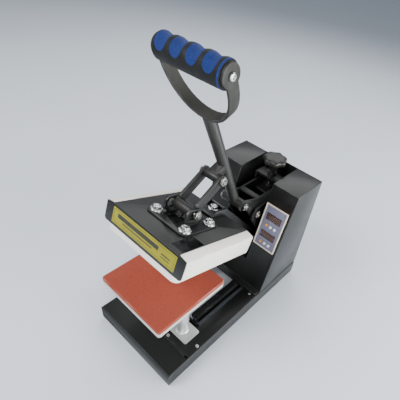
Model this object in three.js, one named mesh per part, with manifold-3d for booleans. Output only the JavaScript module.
// A small clamshell heat press for 150 x 150 mm labels and logos, standing open.
// Millimetres, +Z up, front towards -Y, left-right symmetry about X = 0.
// The origin is on the bench, under the middle of the base.
import * as THREE from "three";
import { mergeVertices } from "three/addons/utils/BufferGeometryUtils.js";
import Module from "manifold-3d";

const wasm = await Module();
wasm.setup();

// ---- driving dimensions ----------------------------------------------------
const GAP = 0.3; // air left between pieces that touch
const SHEET = 2; // steel sheet of the base and housing

const BASE_X = 99; // half width of the base
const BASE_Y = 195; // half length of the base
const FOOT_H = 4; // rubber foot height
const DECK_Z = 37; // top of the base deck
const SEAM_Y = -149; // slit between the front cover and the deck

const WELL_X = 65; // half width of the opening in the deck
const WELL_FRONT = -96;
const WELL_REAR = 45;

const PAD = 150; // silicone pad side
const PAD_Y = -118; // pad centre
const PAD_TOP = 149;
const PAD_T = 8;
const PLATE_T = 8;
const POST_X = 46;
const POST_R = 12.5;

const SLOPE = Math.atan(0.2245); // lean of the housing's front
const SLOPE_Y = 59; // where the sloping front meets the flange
const SLOPE_Z = 39;
const HOUSE_X = 98;
const HOUSE_REAR = 193.6;
const HOUSE_TOP = 271;
const RECESS_X = 39.4; // half width of the gap between the two boxes
const RECESS_Z = 91; // top of the lower front panel

const PANEL_X = 67.5; // control panel centre
const PANEL_S = 151; // its height up the slope
const PANEL_W = 50.5;
const PANEL_H = 96;

const PIVOT_R = 5; // M10 pivot bolts
const BORE = 0.4; // running clearance of a pivot bolt
const ARM_PIVOT = [122.6, 101.5]; // Y, Z of the swing arm's shaft
const PRESS_PIVOT = [88, 203]; // pressure arm on the pivot frame
const LEVER_PIVOT = [50.9, 238]; // lever on the pressure arm
const LINK_PIVOT = [-16, 322.2]; // link on the lever, press open
const SCREW_Y = 165; // pressure screw
const OPEN_TILT = THREE.MathUtils.degToRad(18.38);
const LEVER_LEAN = THREE.MathUtils.degToRad(24.77);

const PLATEN_L = 162; // heated platen housing, front to back
const PLATEN_FRONT = PAD_Y - 80; // its front edge, press closed
const PLATEN_TOP = 196.5; // its top, press closed
const COVER_X = 87.3;
const TOP_X = 72; // half width of the black top
const SKIRT = 35.4; // depth of the side covers
const HOT_DEPTH = 47; // depth of the hot face under the top
const KNUCKLE = [75, 19.5]; // link pivot on the platen: back from the front edge, up

const GRIP_S = 293.5; // grip axis, up the lever
const STRAP_S = 211; // underside of the handle strap
const STRAP_X = 59;
const STRAP_W = 18;
const STRAP_END_R = 14.5;
const STRAP_T = 4;
const LOOP_LEAN = Math.atan(3 / 86); // the hand loop leans back a little from the lever
const GRIP_R = 17.3;
const FINGER_PITCH = 26.3;

const SPRING_X = 40;
const SPRING_Z = 22;
const SPRING_R = 12;
const SPRING_FRONT = -78;
const ANCHOR_Y = SPRING_FRONT - 7; // bar the springs hook on
const SPRING_REAR = 67;
const CRANK_R = (ARM_PIVOT[1] - SPRING_Z) / Math.cos(OPEN_TILT / 2); // to the spring pin

// ---- materials ---------------------------------------------------------------
const finish = (color, roughness, metalness) => ({ color, roughness, metalness });
const BLACK_PAINT = finish(0x1c1e1e, 0.35, 0.2);
const DARK_STEEL = finish(0x3a3b3c, 0.45, 0.6);
const CREAM_PAINT = finish(0xe9e3d8, 0.5, 0.0);
const BARE_STEEL = finish(0xc9cac8, 0.35, 0.8);
const CHROME = finish(0xe6e6e6, 0.15, 1.0);
const ALUMINIUM = finish(0xd6d5d1, 0.4, 0.6);
const SILICONE = finish(0xad5239, 0.8, 0.0);
const RUBBER = finish(0x161616, 0.9, 0.0);
const FOAM = finish(0x2c2d30, 0.85, 0.0);
const BLACK_PLASTIC = finish(0x202122, 0.5, 0.0);
const PANEL_FRAME = finish(0xf3e6d3, 0.5, 0.0);
const PANEL_FACE = finish(0x7e7e90, 0.5, 0.0);
const DISPLAY = finish(0x4a3530, 0.2, 0.0);
const ORANGE = finish(0xe0a020, 0.5, 0.0);
const WHITE_PLASTIC = finish(0xf0f0f0, 0.5, 0.0);
const BOARD = finish(0x2e5a34, 0.6, 0.0);
const WOOL = finish(0xd8cfb8, 0.95, 0.0);

// ---- solids --------------------------------------------------------------------
function solid(geometry) {
  const bare = geometry.index ? geometry.toNonIndexed() : geometry.clone();
  bare.deleteAttribute("normal");
  bare.deleteAttribute("uv");
  const merged = mergeVertices(bare, 1e-4);
  const mesh = new wasm.Mesh({
    numProp: 3,
    vertProperties: merged.attributes.position.array,
    triVerts: new Uint32Array(merged.index.array),
  });
  return new wasm.Manifold(mesh);
}

function geometryOf(body) {
  const mesh = body.getMesh();
  const geometry = new THREE.BufferGeometry();
  geometry.setAttribute("position", new THREE.BufferAttribute(mesh.vertProperties, 3));
  geometry.setIndex(new THREE.BufferAttribute(mesh.triVerts, 1));
  geometry.computeVertexNormals();
  return geometry;
}

const join = (...bodies) => bodies.reduce((a, b) => a.add(b));
const cut = (body, ...tools) => tools.reduce((a, b) => a.subtract(b), body);

function block(x0, x1, y0, y1, z0, z1) {
  const box = new THREE.BoxGeometry(x1 - x0, y1 - y0, z1 - z0);
  box.translate((x0 + x1) / 2, (y0 + y1) / 2, (z0 + z1) / 2);
  return solid(box);
}

function outline(points) {
  return new THREE.Shape(points.map(([u, v]) => new THREE.Vector2(u, v)));
}

function extruded(shape, depth, curveSegments = 8) {
  return new THREE.ExtrudeGeometry(shape, { depth, bevelEnabled: false, curveSegments });
}

const TO_X = new THREE.Matrix4().makeBasis(
  new THREE.Vector3(0, 1, 0),
  new THREE.Vector3(0, 0, 1),
  new THREE.Vector3(1, 0, 0),
);
const TO_Y = new THREE.Matrix4().makeBasis(
  new THREE.Vector3(1, 0, 0),
  new THREE.Vector3(0, 0, 1),
  new THREE.Vector3(0, -1, 0),
);

// A (y, z) outline pushed along X.
function alongX(shape, x0, x1) {
  return solid(extruded(shape, x1 - x0).applyMatrix4(TO_X).translate(x0, 0, 0));
}

// An (x, z) outline pushed along Y.
function alongY(shape, y0, y1, segments) {
  return solid(extruded(shape, y1 - y0, segments).applyMatrix4(TO_Y).translate(0, y1, 0));
}

// An (x, y) outline pushed along Z.
function alongZ(shape, z0, z1) {
  return solid(extruded(shape, z1 - z0).translate(0, 0, z0));
}

function rod(radius, length, sides) {
  return new THREE.CylinderGeometry(radius, radius, length, sides);
}

function rodX(y, z, radius, x0, x1, sides = 24) {
  const bar = rod(radius, x1 - x0, sides).rotateZ(Math.PI / 2);
  return solid(bar.translate((x0 + x1) / 2, y, z));
}

function rodY(x, z, radius, y0, y1, sides = 24) {
  return solid(rod(radius, y1 - y0, sides).translate(x, (y0 + y1) / 2, z));
}

function rodZ(x, y, radius, z0, z1, sides = 24) {
  const bar = rod(radius, z1 - z0, sides).rotateX(Math.PI / 2);
  return solid(bar.translate(x, y, (z0 + z1) / 2));
}

// A body of revolution about Z, from [radius, z] points that start and end on the axis.
function turned(points, sides = 24) {
  const profile = points.map(([r, z]) => new THREE.Vector2(r, z));
  return new THREE.LatheGeometry(profile, sides).rotateX(Math.PI / 2);
}

function roundedRect(x0, x1, y0, y1, r) {
  const shape = new THREE.Shape();
  shape.moveTo(x0 + r, y0);
  shape.lineTo(x1 - r, y0);
  shape.absarc(x1 - r, y0 + r, r, -Math.PI / 2, 0);
  shape.lineTo(x1, y1 - r);
  shape.absarc(x1 - r, y1 - r, r, 0, Math.PI / 2);
  shape.lineTo(x0 + r, y1);
  shape.absarc(x0 + r, y1 - r, r, Math.PI / 2, Math.PI);
  shape.lineTo(x0, y0 + r);
  shape.absarc(x0 + r, y0 + r, r, Math.PI, 1.5 * Math.PI);
  return shape;
}

// ---- scene graph helpers -------------------------------------------------------
const press = new THREE.Group();

function place(name, body, look, parent = press) {
  const geometry = body.isBufferGeometry ? body : geometryOf(body);
  const mesh = new THREE.Mesh(geometry, new THREE.MeshStandardMaterial(look));
  mesh.name = name;
  parent.add(mesh);
  return mesh;
}

// A group whose children are written as if unturned, then turned about a line along X.
function turnedAbout([y, z], angle) {
  const outer = new THREE.Group();
  const inner = new THREE.Group();
  outer.position.set(0, y, z);
  outer.rotation.x = angle;
  inner.position.set(0, -y, -z);
  outer.add(inner);
  press.add(outer);
  return inner;
}

// ---- base ------------------------------------------------------------------------
function baseFrame() {
  const side = roundedRect(-BASE_X, BASE_X, FOOT_H - 10, DECK_Z, 3);
  const front = roundedRect(-BASE_Y, BASE_Y, FOOT_H - 10, DECK_Z, 4);
  const outer = alongY(side, -BASE_Y, BASE_Y).intersect(alongX(front, -BASE_X, BASE_X));
  const insideX = BASE_X - SHEET;
  const insideY = BASE_Y - SHEET;
  const coverRear = SEAM_Y - 2;
  const lipTop = DECK_Z - SHEET - GAP;
  const walls = cut(
    outer,
    block(-200, 200, -300, 300, -20, FOOT_H),
    block(-insideX, insideX, -insideY, coverRear + 1, 0, DECK_Z - SHEET),
    block(-insideX, insideX, coverRear, insideY, 0, DECK_Z + 1),
  );
  const ledge = (x0, x1, y0, y1) => block(x0, x1, y0, y1, lipTop - SHEET, lipTop);
  const flange = (x0, x1) => block(x0, x1, -insideY - 0.5, insideY + 0.5, FOOT_H, FOOT_H + SHEET);
  return join(
    walls,
    ledge(-insideX - 0.5, -insideX + 14, SEAM_Y + 3, insideY),
    ledge(insideX - 14, insideX + 0.5, SEAM_Y + 3, insideY),
    ledge(-insideX, insideX, SEAM_Y + 3, WELL_FRONT - 3),
    ledge(-insideX, insideX, insideY - 14, insideY + 0.5),
    flange(-insideX - 0.5, -insideX + 18),
    flange(insideX - 18, insideX + 0.5),
  );
}

function baseDeck() {
  const edge = BASE_X - SHEET - GAP;
  const rear = BASE_Y - SHEET - GAP;
  const plate = block(-edge, edge, SEAM_Y + 1.3, rear, DECK_Z - SHEET, DECK_Z);
  const well = roundedRect(-WELL_X, WELL_X, WELL_FRONT, WELL_REAR, 3);
  return cut(
    plate,
    alongZ(well, 0, 100),
    block(-25.3, 25.3, 92, 156, 0, 100),
  );
}

place("base_frame", baseFrame(), BLACK_PAINT);
place("base_deck", baseDeck(), BLACK_PAINT);
for (const [name, x, y] of [
  ["base_foot_front_left", -1, -1],
  ["base_foot_front_right", 1, -1],
  ["base_foot_rear_left", -1, 1],
  ["base_foot_rear_right", 1, 1],
]) {
  const foot = turned([[0, 0], [8, 0], [9.5, FOOT_H - GAP], [0, FOOT_H - GAP]]);
  place(name, foot.translate(x * (BASE_X - 13), y * (BASE_Y - 14), 0), RUBBER);
}

// ---- lower platen ------------------------------------------------------------------
const FOOT_TOP = DECK_Z + GAP + 3;
const PLATE_BOTTOM = PAD_TOP - PAD_T - GAP - PLATE_T;

const padOutline = roundedRect(-PAD / 2, PAD / 2, PAD_Y - PAD / 2, PAD_Y + PAD / 2, 5);
place("silicone_pad", alongZ(padOutline, PAD_TOP - PAD_T, PAD_TOP), SILICONE);
place("lower_platen_plate", alongZ(padOutline, PLATE_BOTTOM, PLATE_BOTTOM + PLATE_T), ALUMINIUM);

const footOutline = roundedRect(-75, 75, PAD_Y - 17, PAD_Y + 20, 3);
place("support_foot", alongZ(footOutline, DECK_Z + GAP, FOOT_TOP), BARE_STEEL);
for (const [name, sign] of [["support_post_left", -1], ["support_post_right", 1]]) {
  const z0 = FOOT_TOP + GAP;
  const z1 = PLATE_BOTTOM - GAP;
  const post = turned([
    [0, z0], [POST_R + 1.5, z0], [POST_R + 0.4, z0 + 0.8], [POST_R, z0 + 2.5], [POST_R, z1], [0, z1],
  ]);
  place(name, post.translate(sign * POST_X, PAD_Y + 1.5, 0), BARE_STEEL);
}

// ---- housing -------------------------------------------------------------------------
const slopeAt = (z) => SLOPE_Y + (z - SLOPE_Z) * Math.tan(SLOPE);

// The housing's side outline, shrunk by t all round, with the bottom let down by drop.
function houseOutline(t, drop) {
  const lean = t / Math.cos(SLOPE);
  const bottom = DECK_Z + GAP - drop;
  return outline([
    [slopeAt(bottom) + lean, bottom],
    [slopeAt(HOUSE_TOP - t) + lean, HOUSE_TOP - t],
    [HOUSE_REAR + (t ? 5 : 0), HOUSE_TOP - t],
    [HOUSE_REAR + (t ? 5 : 0), bottom],
  ]);
}

function housingShell() {
  const outer = alongX(houseOutline(0, 0), -HOUSE_X, HOUSE_X);
  const inner = houseOutline(SHEET, 10);
  const boxes = [-1, 1].map((side) => {
    const near = side * (RECESS_X + SHEET);
    const far = side * (HOUSE_X - SHEET);
    return alongX(inner, Math.min(near, far), Math.max(near, far));
  });
  const behindPanel = alongX(inner, -RECESS_X, RECESS_X);
  const recess = block(-RECESS_X, RECESS_X, 0, 300, RECESS_Z, 400);
  const flange = block(-95, 95, 47, SLOPE_Y + 2, DECK_Z + GAP, DECK_Z + GAP + SHEET);
  const window = new THREE.BoxGeometry(PANEL_W - 10, PANEL_H - 10, 20);
  onSlope(window.translate(PANEL_X, PANEL_S, 0));
  return cut(join(outer, flange), ...boxes, behindPanel, recess, solid(window));
}

// Turns a geometry written on the control panel (x, up the slope, out of it) into place.
function onSlope(geometry) {
  geometry.rotateX(Math.PI / 2 - SLOPE);
  return geometry.translate(0, SLOPE_Y, SLOPE_Z);
}

const INLET_X = -78;
const SWITCH_X = -52;
const REAR_Z = 74;

function rearPanel() {
  const wall = block(-HOUSE_X, HOUSE_X, HOUSE_REAR + GAP, HOUSE_REAR + 1.1, DECK_Z + GAP, HOUSE_TOP);
  return cut(
    wall,
    block(INLET_X - 14.3, INLET_X + 14.3, 100, 300, REAR_Z - 15.3, REAR_Z + 15.3),
    block(SWITCH_X - 7.5, SWITCH_X + 7.5, 100, 300, REAR_Z - 11, REAR_Z + 11),
  );
}

place("housing_shell", housingShell(), BLACK_PAINT);
place("rear_panel", rearPanel(), BLACK_PAINT);

function inlet() {
  const body = block(INLET_X - 14, INLET_X + 14, HOUSE_REAR - 20, BASE_Y, REAR_Z - 15, REAR_Z + 15);
  const pocket = block(INLET_X - 11, INLET_X + 11, HOUSE_REAR - 14, BASE_Y + 5, REAR_Z - 12, REAR_Z + 4);
  const core = block(INLET_X - 8, INLET_X + 8, HOUSE_REAR - 15, BASE_Y - 1.5, REAR_Z - 9.5, REAR_Z + 1.5);
  return join(cut(body, pocket), core);
}

function rocker() {
  const y = BASE_Y - 2.5;
  const profile = outline([
    [y - 9, REAR_Z - 8.5], [y + 0.6, REAR_Z - 9.5], [y + 0.2, REAR_Z], [y + 2.2, REAR_Z + 9.5], [y - 9, REAR_Z + 8.5],
  ]);
  return alongX(profile, SWITCH_X - 6.5, SWITCH_X + 6.5);
}

place("power_inlet", inlet(), BLACK_PLASTIC);
place("power_switch", rocker(), BLACK_PLASTIC);

function transformer() {
  const [x, y, z] = [-69, 125, DECK_Z + GAP];
  const core = block(x - 22, x + 22, y - 14, y + 14, z + 3, z + 43);
  const coil = block(x - 15, x + 15, y - 23, y + 23, z + 10, z + 36);
  const strap = block(x - 26, x + 26, y - 10, y + 10, z, z + 3.5);
  return join(core, coil, strap);
}

place("power_transformer", transformer(), DARK_STEEL);

// ---- control panel -----------------------------------------------------------------------
const DISPLAY_S = [174, 134];
const BUTTON_S = [154.5, 115];
const BUTTON_X = [57, 67, 77];
const BUTTON_R = 3;

function slab(x, s, w, h, z0, z1) {
  const box = new THREE.BoxGeometry(w, h, z1 - z0);
  return box.translate(x, s, (z0 + z1) / 2);
}

function buttonHoles(radius) {
  const holes = [];
  for (const s of BUTTON_S) {
    for (const x of BUTTON_X) {
      holes.push(solid(rod(radius, 40, 16).rotateX(Math.PI / 2).translate(x, s, 0)));
    }
  }
  return holes;
}

function slopePiece(name, body, look) {
  place(name, onSlope(geometryOf(body)), look);
}

slopePiece(
  "control_bezel",
  cut(
    solid(slab(PANEL_X, PANEL_S, PANEL_W, PANEL_H, GAP, 2.8)),
    solid(slab(PANEL_X, PANEL_S, PANEL_W - 5, PANEL_H - 5, -1, 5)),
  ),
  PANEL_FRAME,
);
slopePiece(
  "control_faceplate",
  cut(
    solid(slab(PANEL_X, PANEL_S, PANEL_W - 5.6, PANEL_H - 5.6, GAP, 1.8)),
    ...buttonHoles(BUTTON_R + 0.4),
  ),
  PANEL_FACE,
);
slopePiece(
  "control_board",
  join(
    solid(slab(PANEL_X, PANEL_S, 42, 80, -11, -9.4)),
    ...[-18, 18].flatMap((dx) =>
      [-37, 37].map((ds) =>
        solid(rod(2, 10, 10).rotateX(Math.PI / 2).translate(PANEL_X + dx, PANEL_S + ds, -5)),
      ),
    ),
    solid(slab(PANEL_X, PANEL_S - 26, 24, 14, -18, -10.5)),
  ),
  BOARD,
);
["upper", "lower"].forEach((row, i) => {
  slopePiece(
    "display_window_" + row,
    solid(slab(PANEL_X, DISPLAY_S[i], 34, 15, 2.1, 2.9)),
    DISPLAY,
  );
  ["set", "down", "up"].forEach((use, j) => {
    const cap = turned([
      [0, -6], [BUTTON_R + 1, -6], [BUTTON_R + 1, -1.6], [BUTTON_R, -1.6], [BUTTON_R, 3.2], [BUTTON_R - 0.7, 3.9], [0, 3.9],
    ], 16);
    cap.translate(BUTTON_X[j], BUTTON_S[i], 0);
    place("button_" + row + "_" + use, onSlope(cap), j ? WHITE_PLASTIC : ORANGE);
  });
});

// ---- pivot frame and pressure adjuster --------------------------------------------------
const FRAME_X = 27.3; // inside of the frame's side plates
const FRAME_T = 4;
const BRIDGE_Z = 247;

function bothSides(shape, inside, thickness) {
  return [
    alongX(shape, -inside - thickness, -inside),
    alongX(shape, inside, inside + thickness),
  ];
}

function pivotFrame() {
  const bottom = DECK_Z + GAP;
  const cheek = outline([
    [104, bottom], [184, bottom], [184, BRIDGE_Z], [150, BRIDGE_Z], [150, 226], [143, 218],
    [84, 218], [75, 209], [75, 194], [104, 150],
  ]);
  const [armY, armZ] = ARM_PIVOT;
  const [pressY, pressZ] = PRESS_PIVOT;
  const reach = FRAME_X + FRAME_T;
  const welded = join(
    ...bothSides(cheek, FRAME_X, FRAME_T),
    block(-reach + 1, reach - 1, 176, 180, 60, 200),
    block(-reach + 1, reach - 1, 152, 178, BRIDGE_Z - 6, BRIDGE_Z),
    block(-38.8, -reach + 1, 110, 184, bottom, bottom + 4),
    block(reach - 1, 38.8, 110, 184, bottom, bottom + 4),
    rodZ(0, SCREW_Y, 9, BRIDGE_Z - 12, BRIDGE_Z + 8),
  );
  return cut(
    welded,
    rodX(armY, armZ, 6 + BORE, -60, 60),
    rodX(pressY, pressZ, PIVOT_R + BORE, -60, 60),
    rodZ(0, SCREW_Y, PIVOT_R + 0.6, 200, 300),
  );
}

place("pivot_frame", pivotFrame(), BLACK_PAINT);
place("rear_pivot_shaft", rodX(...ARM_PIVOT, 6, -38.6, 38.6), BARE_STEEL);

// A bolt along X: round shank, hex head at -X and hex nut at +X.
function crossBolt([y, z], shankR, half, headR, headT) {
  return join(
    rodX(y, z, shankR, -half - headT, half + headT + 2, 20),
    rodX(y, z, headR, -half - headT, -half, 6),
    rodX(y, z, headR, half, half + headT, 6),
  );
}

place("pressure_arm_bolt", crossBolt(PRESS_PIVOT, PIVOT_R, FRAME_X + FRAME_T + GAP, 8, 4), CHROME);

const PRESS_X = 20.3; // inside of the pressure arm's plates
const PRESS_T = 4;

function pressureArm() {
  const cheek = outline([
    [42, 231], [40.5, 240], [46, 247], [54, 248], [93, 234], [174, 234], [174, 212],
    [104, 196], [90, 192], [80, 195], [66, 216], [54, 228],
  ]);
  const welded = join(
    ...bothSides(cheek, PRESS_X, PRESS_T),
    block(-PRESS_X - 1, PRESS_X + 1, 93, 104, 230, 234),
    block(-PRESS_X - 1, PRESS_X + 1, 140, 174, 216, 220),
  );
  return cut(
    welded,
    rodX(...PRESS_PIVOT, PIVOT_R + BORE, -60, 60),
    rodX(...LEVER_PIVOT, PIVOT_R + BORE, -60, 60),
  );
}

place("pressure_arm", pressureArm(), DARK_STEEL);

place(
  "screw_foot",
  turned([[0, 221], [9, 221], [9, 223.4], [6, 225], [0, 225]]).translate(0, SCREW_Y, 0),
  DARK_STEEL,
);
place(
  "pressure_screw",
  turned([[0, 225.4], [PIVOT_R, 225.4], [PIVOT_R, 275], [0, 275]]).translate(0, SCREW_Y, 0),
  DARK_STEEL,
);

function starKnob() {
  const lobes = 7;
  const star = new THREE.Shape();
  const steps = lobes * 6;
  for (let i = 0; i < steps; i++) {
    const angle = (i / steps) * 2 * Math.PI;
    const r = 23.6 + 1.6 * Math.cos(lobes * angle);
    const point = [r * Math.cos(angle), r * Math.sin(angle)];
    if (i) star.lineTo(...point);
    else star.moveTo(...point);
  }
  const head = alongZ(star, 277, 290);
  const hub = rodZ(0, 0, 9, 264, 278);
  const socket = rodZ(0, 0, PIVOT_R + GAP, 260, 275 + GAP);
  return cut(join(head, hub), socket).translate([0, SCREW_Y, 0]);
}

place("pressure_knob", starKnob(), BLACK_PLASTIC);

// ---- handle lever, in its own frame: pivot at the origin, +Z up the lever --------------
const leverGroup = new THREE.Group();
leverGroup.position.set(0, ...LEVER_PIVOT);
leverGroup.rotation.x = LEVER_LEAN;
press.add(leverGroup);

const toLever = (y, z) => {
  const dy = y - LEVER_PIVOT[0];
  const dz = z - LEVER_PIVOT[1];
  const [c, s] = [Math.cos(LEVER_LEAN), Math.sin(LEVER_LEAN)];
  return [dy * c + dz * s, dz * c - dy * s];
};
const LEVER_R = 9.5;
const LINK_HALF = 15; // inside of the link's side bars
const eye = toLever(...LINK_PIVOT);

function lever() {
  const welded = join(
    rodZ(0, 0, LEVER_R, 0, STRAP_S - 0.7),
    rodX(0, 0, 10, -PRESS_X + 0.4, PRESS_X - 0.4),
    rodX(...eye, 8.5, -LINK_HALF + 0.4, LINK_HALF - 0.4),
    block(-9, 9, eye[0], -5, eye[1] - 7, eye[1] + 9),
  );
  return cut(
    welded,
    rodX(0, 0, PIVOT_R + BORE, -60, 60),
    rodX(...eye, PIVOT_R + BORE, -60, 60),
  );
}

function strapOutline() {
  const inner = STRAP_X - STRAP_T;
  const shoulder = 275;
  const shape = new THREE.Shape();
  shape.moveTo(-STRAP_X, GRIP_S);
  shape.lineTo(-STRAP_X, shoulder);
  shape.bezierCurveTo(-STRAP_X, 243, -38, STRAP_S, 0, STRAP_S);
  shape.bezierCurveTo(38, STRAP_S, STRAP_X, 243, STRAP_X, shoulder);
  shape.lineTo(STRAP_X, GRIP_S);
  shape.lineTo(inner, GRIP_S);
  shape.lineTo(inner, shoulder);
  shape.bezierCurveTo(inner, 246, 35, STRAP_S + STRAP_T, 0, STRAP_S + STRAP_T);
  shape.bezierCurveTo(-35, STRAP_S + STRAP_T, -inner, 246, -inner, shoulder);
  shape.lineTo(-inner, GRIP_S);
  return shape;
}

function strap() {
  const band = alongY(strapOutline(), -STRAP_W / 2, STRAP_W / 2, 10);
  const inner = STRAP_X - STRAP_T;
  const ends = join(
    rodX(0, GRIP_S, STRAP_END_R, -STRAP_X, -inner),
    rodX(0, GRIP_S, STRAP_END_R, inner, STRAP_X),
  );
  return cut(band.add(ends), rodX(0, GRIP_S, 4.4, -80, 80));
}

// A foam grip: five ribs and four finger dips on its upper back, straight underneath.
function grip() {
  const half = STRAP_X - STRAP_T - GAP;
  const profile = [[4.4, -half]];
  const steps = 32;
  for (let i = 0; i <= steps; i++) profile.push([GRIP_R, -half + (2 * half * i) / steps]);
  profile.push([4.4, half], [4.4, -half]);
  const body = turned(profile, 30).rotateY(Math.PI / 2);
  const at = body.attributes.position;
  for (let i = 0; i < at.count; i++) {
    const [x, y, z] = [at.getX(i), at.getY(i), at.getZ(i)];
    if (Math.hypot(y, z) < 10) continue;
    const round = Math.atan2(-y, z) + 0.35; // from the middle of the dips, behind the top
    const share = Math.min(1, Math.max(0, Math.cos(round) + 0.35));
    const dip = 1.2 - 1.2 * Math.cos((2 * Math.PI * (x + half)) / FINGER_PITCH);
    const k = 1 - (share * dip) / GRIP_R;
    at.setXYZ(i, x, y * k, z * k);
  }
  return body.translate(0, 0, GRIP_S);
}

const loopGroup = new THREE.Group();
const loopInner = new THREE.Group();
loopGroup.position.set(0, 0, STRAP_S);
loopGroup.rotation.x = -LOOP_LEAN;
loopInner.position.set(0, 0, -STRAP_S);
loopGroup.add(loopInner);
leverGroup.add(loopGroup);

place("handle_lever", lever(), DARK_STEEL, leverGroup);
place("handle_strap", strap(), DARK_STEEL, loopInner);
place("handle_grip", grip(), FOAM, loopInner);
place(
  "grip_bolt",
  join(
    rodX(0, GRIP_S, 4, -STRAP_X - 2, STRAP_X + 2, 16),
    rodX(0, GRIP_S, 5, STRAP_X + GAP, STRAP_X + 3, 20),
    rodX(0, GRIP_S, 5, -STRAP_X - 3, -STRAP_X - GAP, 20),
  ),
  CHROME,
  loopInner,
);
place(
  "lever_pivot_bolt",
  crossBolt([0, 0], PIVOT_R, PRESS_X + PRESS_T + GAP, 8, 2.2),
  CHROME,
  leverGroup,
);

// ---- link frame, in its own frame: lever end at the origin, platen end at -Z -----------
function openPlaten(back, up) {
  const y = PLATEN_FRONT + back - ARM_PIVOT[0];
  const z = PLATEN_TOP + up - ARM_PIVOT[1];
  const [c, s] = [Math.cos(OPEN_TILT), Math.sin(OPEN_TILT)];
  return [ARM_PIVOT[0] + y * c + z * s, ARM_PIVOT[1] + z * c - y * s];
}

const knuckleOpen = openPlaten(...KNUCKLE);
const linkRun = [knuckleOpen[0] - LINK_PIVOT[0], knuckleOpen[1] - LINK_PIVOT[1]];
const LINK_L = Math.hypot(...linkRun);
const linkGroup = new THREE.Group();
linkGroup.position.set(0, ...LINK_PIVOT);
linkGroup.rotation.x = Math.atan2(linkRun[1], linkRun[0]) + Math.PI / 2;
press.add(linkGroup);

const LUG_X = 21; // inside of the platen's lugs
const LUG_T = 3.4;
const TRUNNION_R = 9.6;

function linkFrame() {
  const bar = roundedRect(-9, 9, -LINK_L + 4, 9, 8.9);
  const welded = join(
    ...bothSides(bar, LINK_HALF, 4.8),
    rodX(0, -LINK_L, TRUNNION_R, -LUG_X + 0.5, LUG_X - 0.5),
  );
  return cut(
    welded,
    rodX(0, 0, PIVOT_R + BORE, -60, 60),
    rodX(0, -LINK_L, PIVOT_R + BORE, -60, 60),
  );
}

place("link_frame", linkFrame(), DARK_STEEL, linkGroup);
place("link_upper_bolt", crossBolt([0, 0], PIVOT_R, LINK_HALF + 4.8 + GAP, 8, 4.5), CHROME, linkGroup);
place(
  "link_lower_bolt",
  crossBolt([0, -LINK_L], PIVOT_R, LUG_X + LUG_T + 0.6, 8, 4.5),
  CHROME,
  linkGroup,
);
place(
  "stop_bolt",
  join(
    rodZ(0, 0, 6, -LINK_L - TRUNNION_R - 8.4, -LINK_L - TRUNNION_R - 5, 6),
    rodZ(0, 0, 4, -LINK_L - TRUNNION_R - 7, -LINK_L - TRUNNION_R - GAP, 16),
    rodZ(0, 0, 6, -LINK_L - TRUNNION_R - 4.2, -LINK_L - TRUNNION_R - GAP, 6),
  ),
  DARK_STEEL,
  linkGroup,
);

// ---- swing arm and heated platen, written closed and then turned open ------------------
const swing = turnedAbout(ARM_PIVOT, -OPEN_TILT);
const back = (s) => PLATEN_FRONT + s;
const up = (n) => PLATEN_TOP + n;
const ARM_X = 16; // inside of the swing arm's plates
const near = (dy, dz) => [ARM_PIVOT[0] + dy, ARM_PIVOT[1] + dz];
const pinY = ARM_PIVOT[0] + CRANK_R * Math.sin(OPEN_TILT / 2);
const pinZ = ARM_PIVOT[1] - CRANK_R * Math.cos(OPEN_TILT / 2);

function swingArm() {
  const cheek = outline([
    [back(127), up(GAP)], [back(127), up(5)], [back(133), up(11)], [back(161), up(13)], near(8, 14), near(17, 2),
    [pinY + 9, pinZ + 6], [pinY + 6, pinZ - 8], [pinY - 6, pinZ - 8], [pinY - 9, pinZ + 6],
    near(-13, -10), [back(167), up(-19)], [back(164), up(GAP)],
  ]);
  const web = outline([
    [back(161), up(12.5)], near(7, 13.3), near(5.5, 10.3), [back(160), up(9)],
  ]);
  const welded = join(
    ...bothSides(cheek, ARM_X, 4),
    block(-20, 20, back(123), back(164), up(GAP), up(GAP + 4)),
    alongX(web, -ARM_X - 1, ARM_X + 1),
    rodX(...ARM_PIVOT, 10, -FRAME_X + 0.4, FRAME_X - 0.4),
    rodX(pinY, pinZ, 4, -SPRING_X - 6, SPRING_X + 6, 16),
  );
  return cut(
    welded,
    rodX(...ARM_PIVOT, 6 + BORE, -60, 60),
    rodZ(0, back(150), 4.4, up(-5), up(20), 16),
  );
}

const BOLT_X = 32;
const BOLT_S = [48, 104];

function platenBoltHoles(radius) {
  return BOLT_S.flatMap((s) =>
    [-BOLT_X, BOLT_X].map((x) => rodZ(x, back(s), radius, up(-50), up(20), 16)),
  );
}

function bracket() {
  const plate = alongZ(roundedRect(-42, 44, back(34), back(118), 10), up(GAP), up(3));
  const [s, n] = KNUCKLE;
  const lug = outline([
    [back(s - 13), up(1)], [back(s - 13), up(6)], [back(s - 22), up(8)], [back(s - 22), up(n + 5)],
    [back(s - 18), up(n + 10.5)], [back(s + 5), up(n + 10.5)], [back(s + 10.5), up(n + 5)], [back(s + 15), up(1)],
  ]);
  const slot = roundedRect(back(s - 18), back(s + 7.4), up(n - 7.7), up(n + 7.4), 7.3);
  return cut(
    join(plate, ...bothSides(lug, LUG_X, LUG_T)),
    alongX(slot, -60, 60),
    rodZ(0, back(s - 14), 12, up(-2), up(10)),
    ...platenBoltHoles(4.5),
  );
}

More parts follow.
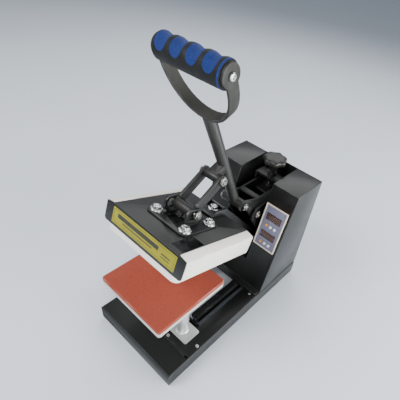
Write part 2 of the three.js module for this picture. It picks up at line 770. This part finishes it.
function topCover() {
  const shoulder = TOP_X;
  const side = COVER_X - 0.4;
  const half = [
    [side - 4.5, up(-SKIRT)], [side - 1.4, up(-SKIRT + 1.3)], [side, up(-SKIRT + 4.4)], [side, up(-3.6)],
    [side - 0.8, up(-2.4)], [shoulder, up(0)],
  ];
  const face = outline([...half, ...half.map(([x, z]) => [-x, z]).reverse()]);
  const shell = join(
    alongY(face, back(0), back(1.6)),
    alongY(face, back(PLATEN_L - 1.6), back(PLATEN_L)),
    block(-shoulder, shoulder, back(0.5), back(PLATEN_L - 0.5), up(-1.6), up(0)),
  );
  return cut(shell, ...platenBoltHoles(4.6), rodZ(0, back(150), 4.6, up(-5), up(20), 16));
}

function sideCover(side) {
  const profile = outline([
    [TOP_X + GAP, up(0.8)], [COVER_X - 0.8, up(-2.6)], [COVER_X, up(-3.6)], [COVER_X, up(-SKIRT)],
    [COVER_X - 1.6, up(-SKIRT)], [COVER_X - 1.6, up(-4.2)], [TOP_X + GAP, up(-0.9)],
  ]);
  const cover = alongY(profile, back(1.6 + GAP), back(PLATEN_L - 1.6 - GAP));
  return side > 0 ? cover : cover.mirror([1, 0, 0]);
}

place("swing_arm", swingArm(), BLACK_PAINT, swing);
place("platen_bracket", bracket(), BLACK_PAINT, swing);
place("platen_top_cover", topCover(), BLACK_PAINT, swing);
place("side_cover_left", sideCover(-1), CREAM_PAINT, swing);
place("side_cover_right", sideCover(1), CREAM_PAINT, swing);

const hotOutline = roundedRect(-79, 79, back(1), back(PLATEN_L - 2), 11);
const HOT_TOP = SKIRT + GAP; // the plate starts just under the covers
place("heat_platen", alongZ(hotOutline, up(-HOT_DEPTH), up(-HOT_TOP)), ALUMINIUM, swing);
const woolOutline = roundedRect(-77, 77, back(4), back(PLATEN_L - 4), 6);
place(
  "insulation_mat",
  cut(alongZ(woolOutline, up(-HOT_TOP + GAP), up(-2.2)), ...platenBoltHoles(4.6), rodZ(0, back(150), 4.6, up(-50), up(5), 16)),
  WOOL,
  swing,
);

const FLANGE_R = 10.6;

// A flanged hex bolt standing on z = seat, its shank going down to tip.
function flangeBolt(x, y, seat, tip) {
  return join(
    rodZ(x, y, FLANGE_R, seat, seat + 1.6, 24),
    rodZ(x, y, 7, seat + 1, seat + 6.6, 6),
    rodZ(x, y, 4, tip, seat + 1, 16),
  );
}

[["front", BOLT_S[0]], ["rear", BOLT_S[1]]].forEach(([row, s]) => {
  [["left", -BOLT_X], ["right", BOLT_X]].forEach(([side, x]) => {
    const bolt = flangeBolt(x, back(s), up(3 + GAP), up(-23.6));
    place("platen_bolt_" + row + "_" + side, bolt, CHROME, swing);
  });
});
place("arm_bolt", flangeBolt(0, back(150), up(GAP + 4 + GAP), up(-23.6)), CHROME, swing);

// ---- return springs, under the deck ------------------------------------------------------
place(
  "spring_anchor_bar",
  rodX(ANCHOR_Y, SPRING_Z, 4, -(BASE_X - SHEET - GAP), BASE_X - SHEET - GAP, 16),
  DARK_STEEL,
);

const pinOpenY = ARM_PIVOT[0] - CRANK_R * Math.sin(OPEN_TILT / 2);
for (const [side, x] of [["left", -SPRING_X], ["right", SPRING_X]]) {
  const coil = rodY(x, SPRING_Z, SPRING_R, SPRING_FRONT, SPRING_REAR, 20);
  const hook = cut(
    rodX(ANCHOR_Y, SPRING_Z, 9, x - 2, x + 2, 20),
    rodX(ANCHOR_Y, SPRING_Z, 4.5, x - 5, x + 5, 16),
  );
  place("return_spring_" + side, join(coil, hook), DARK_STEEL);
  const pull = join(
    rodY(x, SPRING_Z, 3, SPRING_REAR + GAP, pinOpenY - 6, 16),
    rodX(pinOpenY, SPRING_Z, 9, x - 3, x + 3, 20),
  );
  place("spring_rod_" + side, cut(pull, rodX(pinOpenY, SPRING_Z, 5.8, x - 5, x + 5, 16)), DARK_STEEL);
}

export default press;
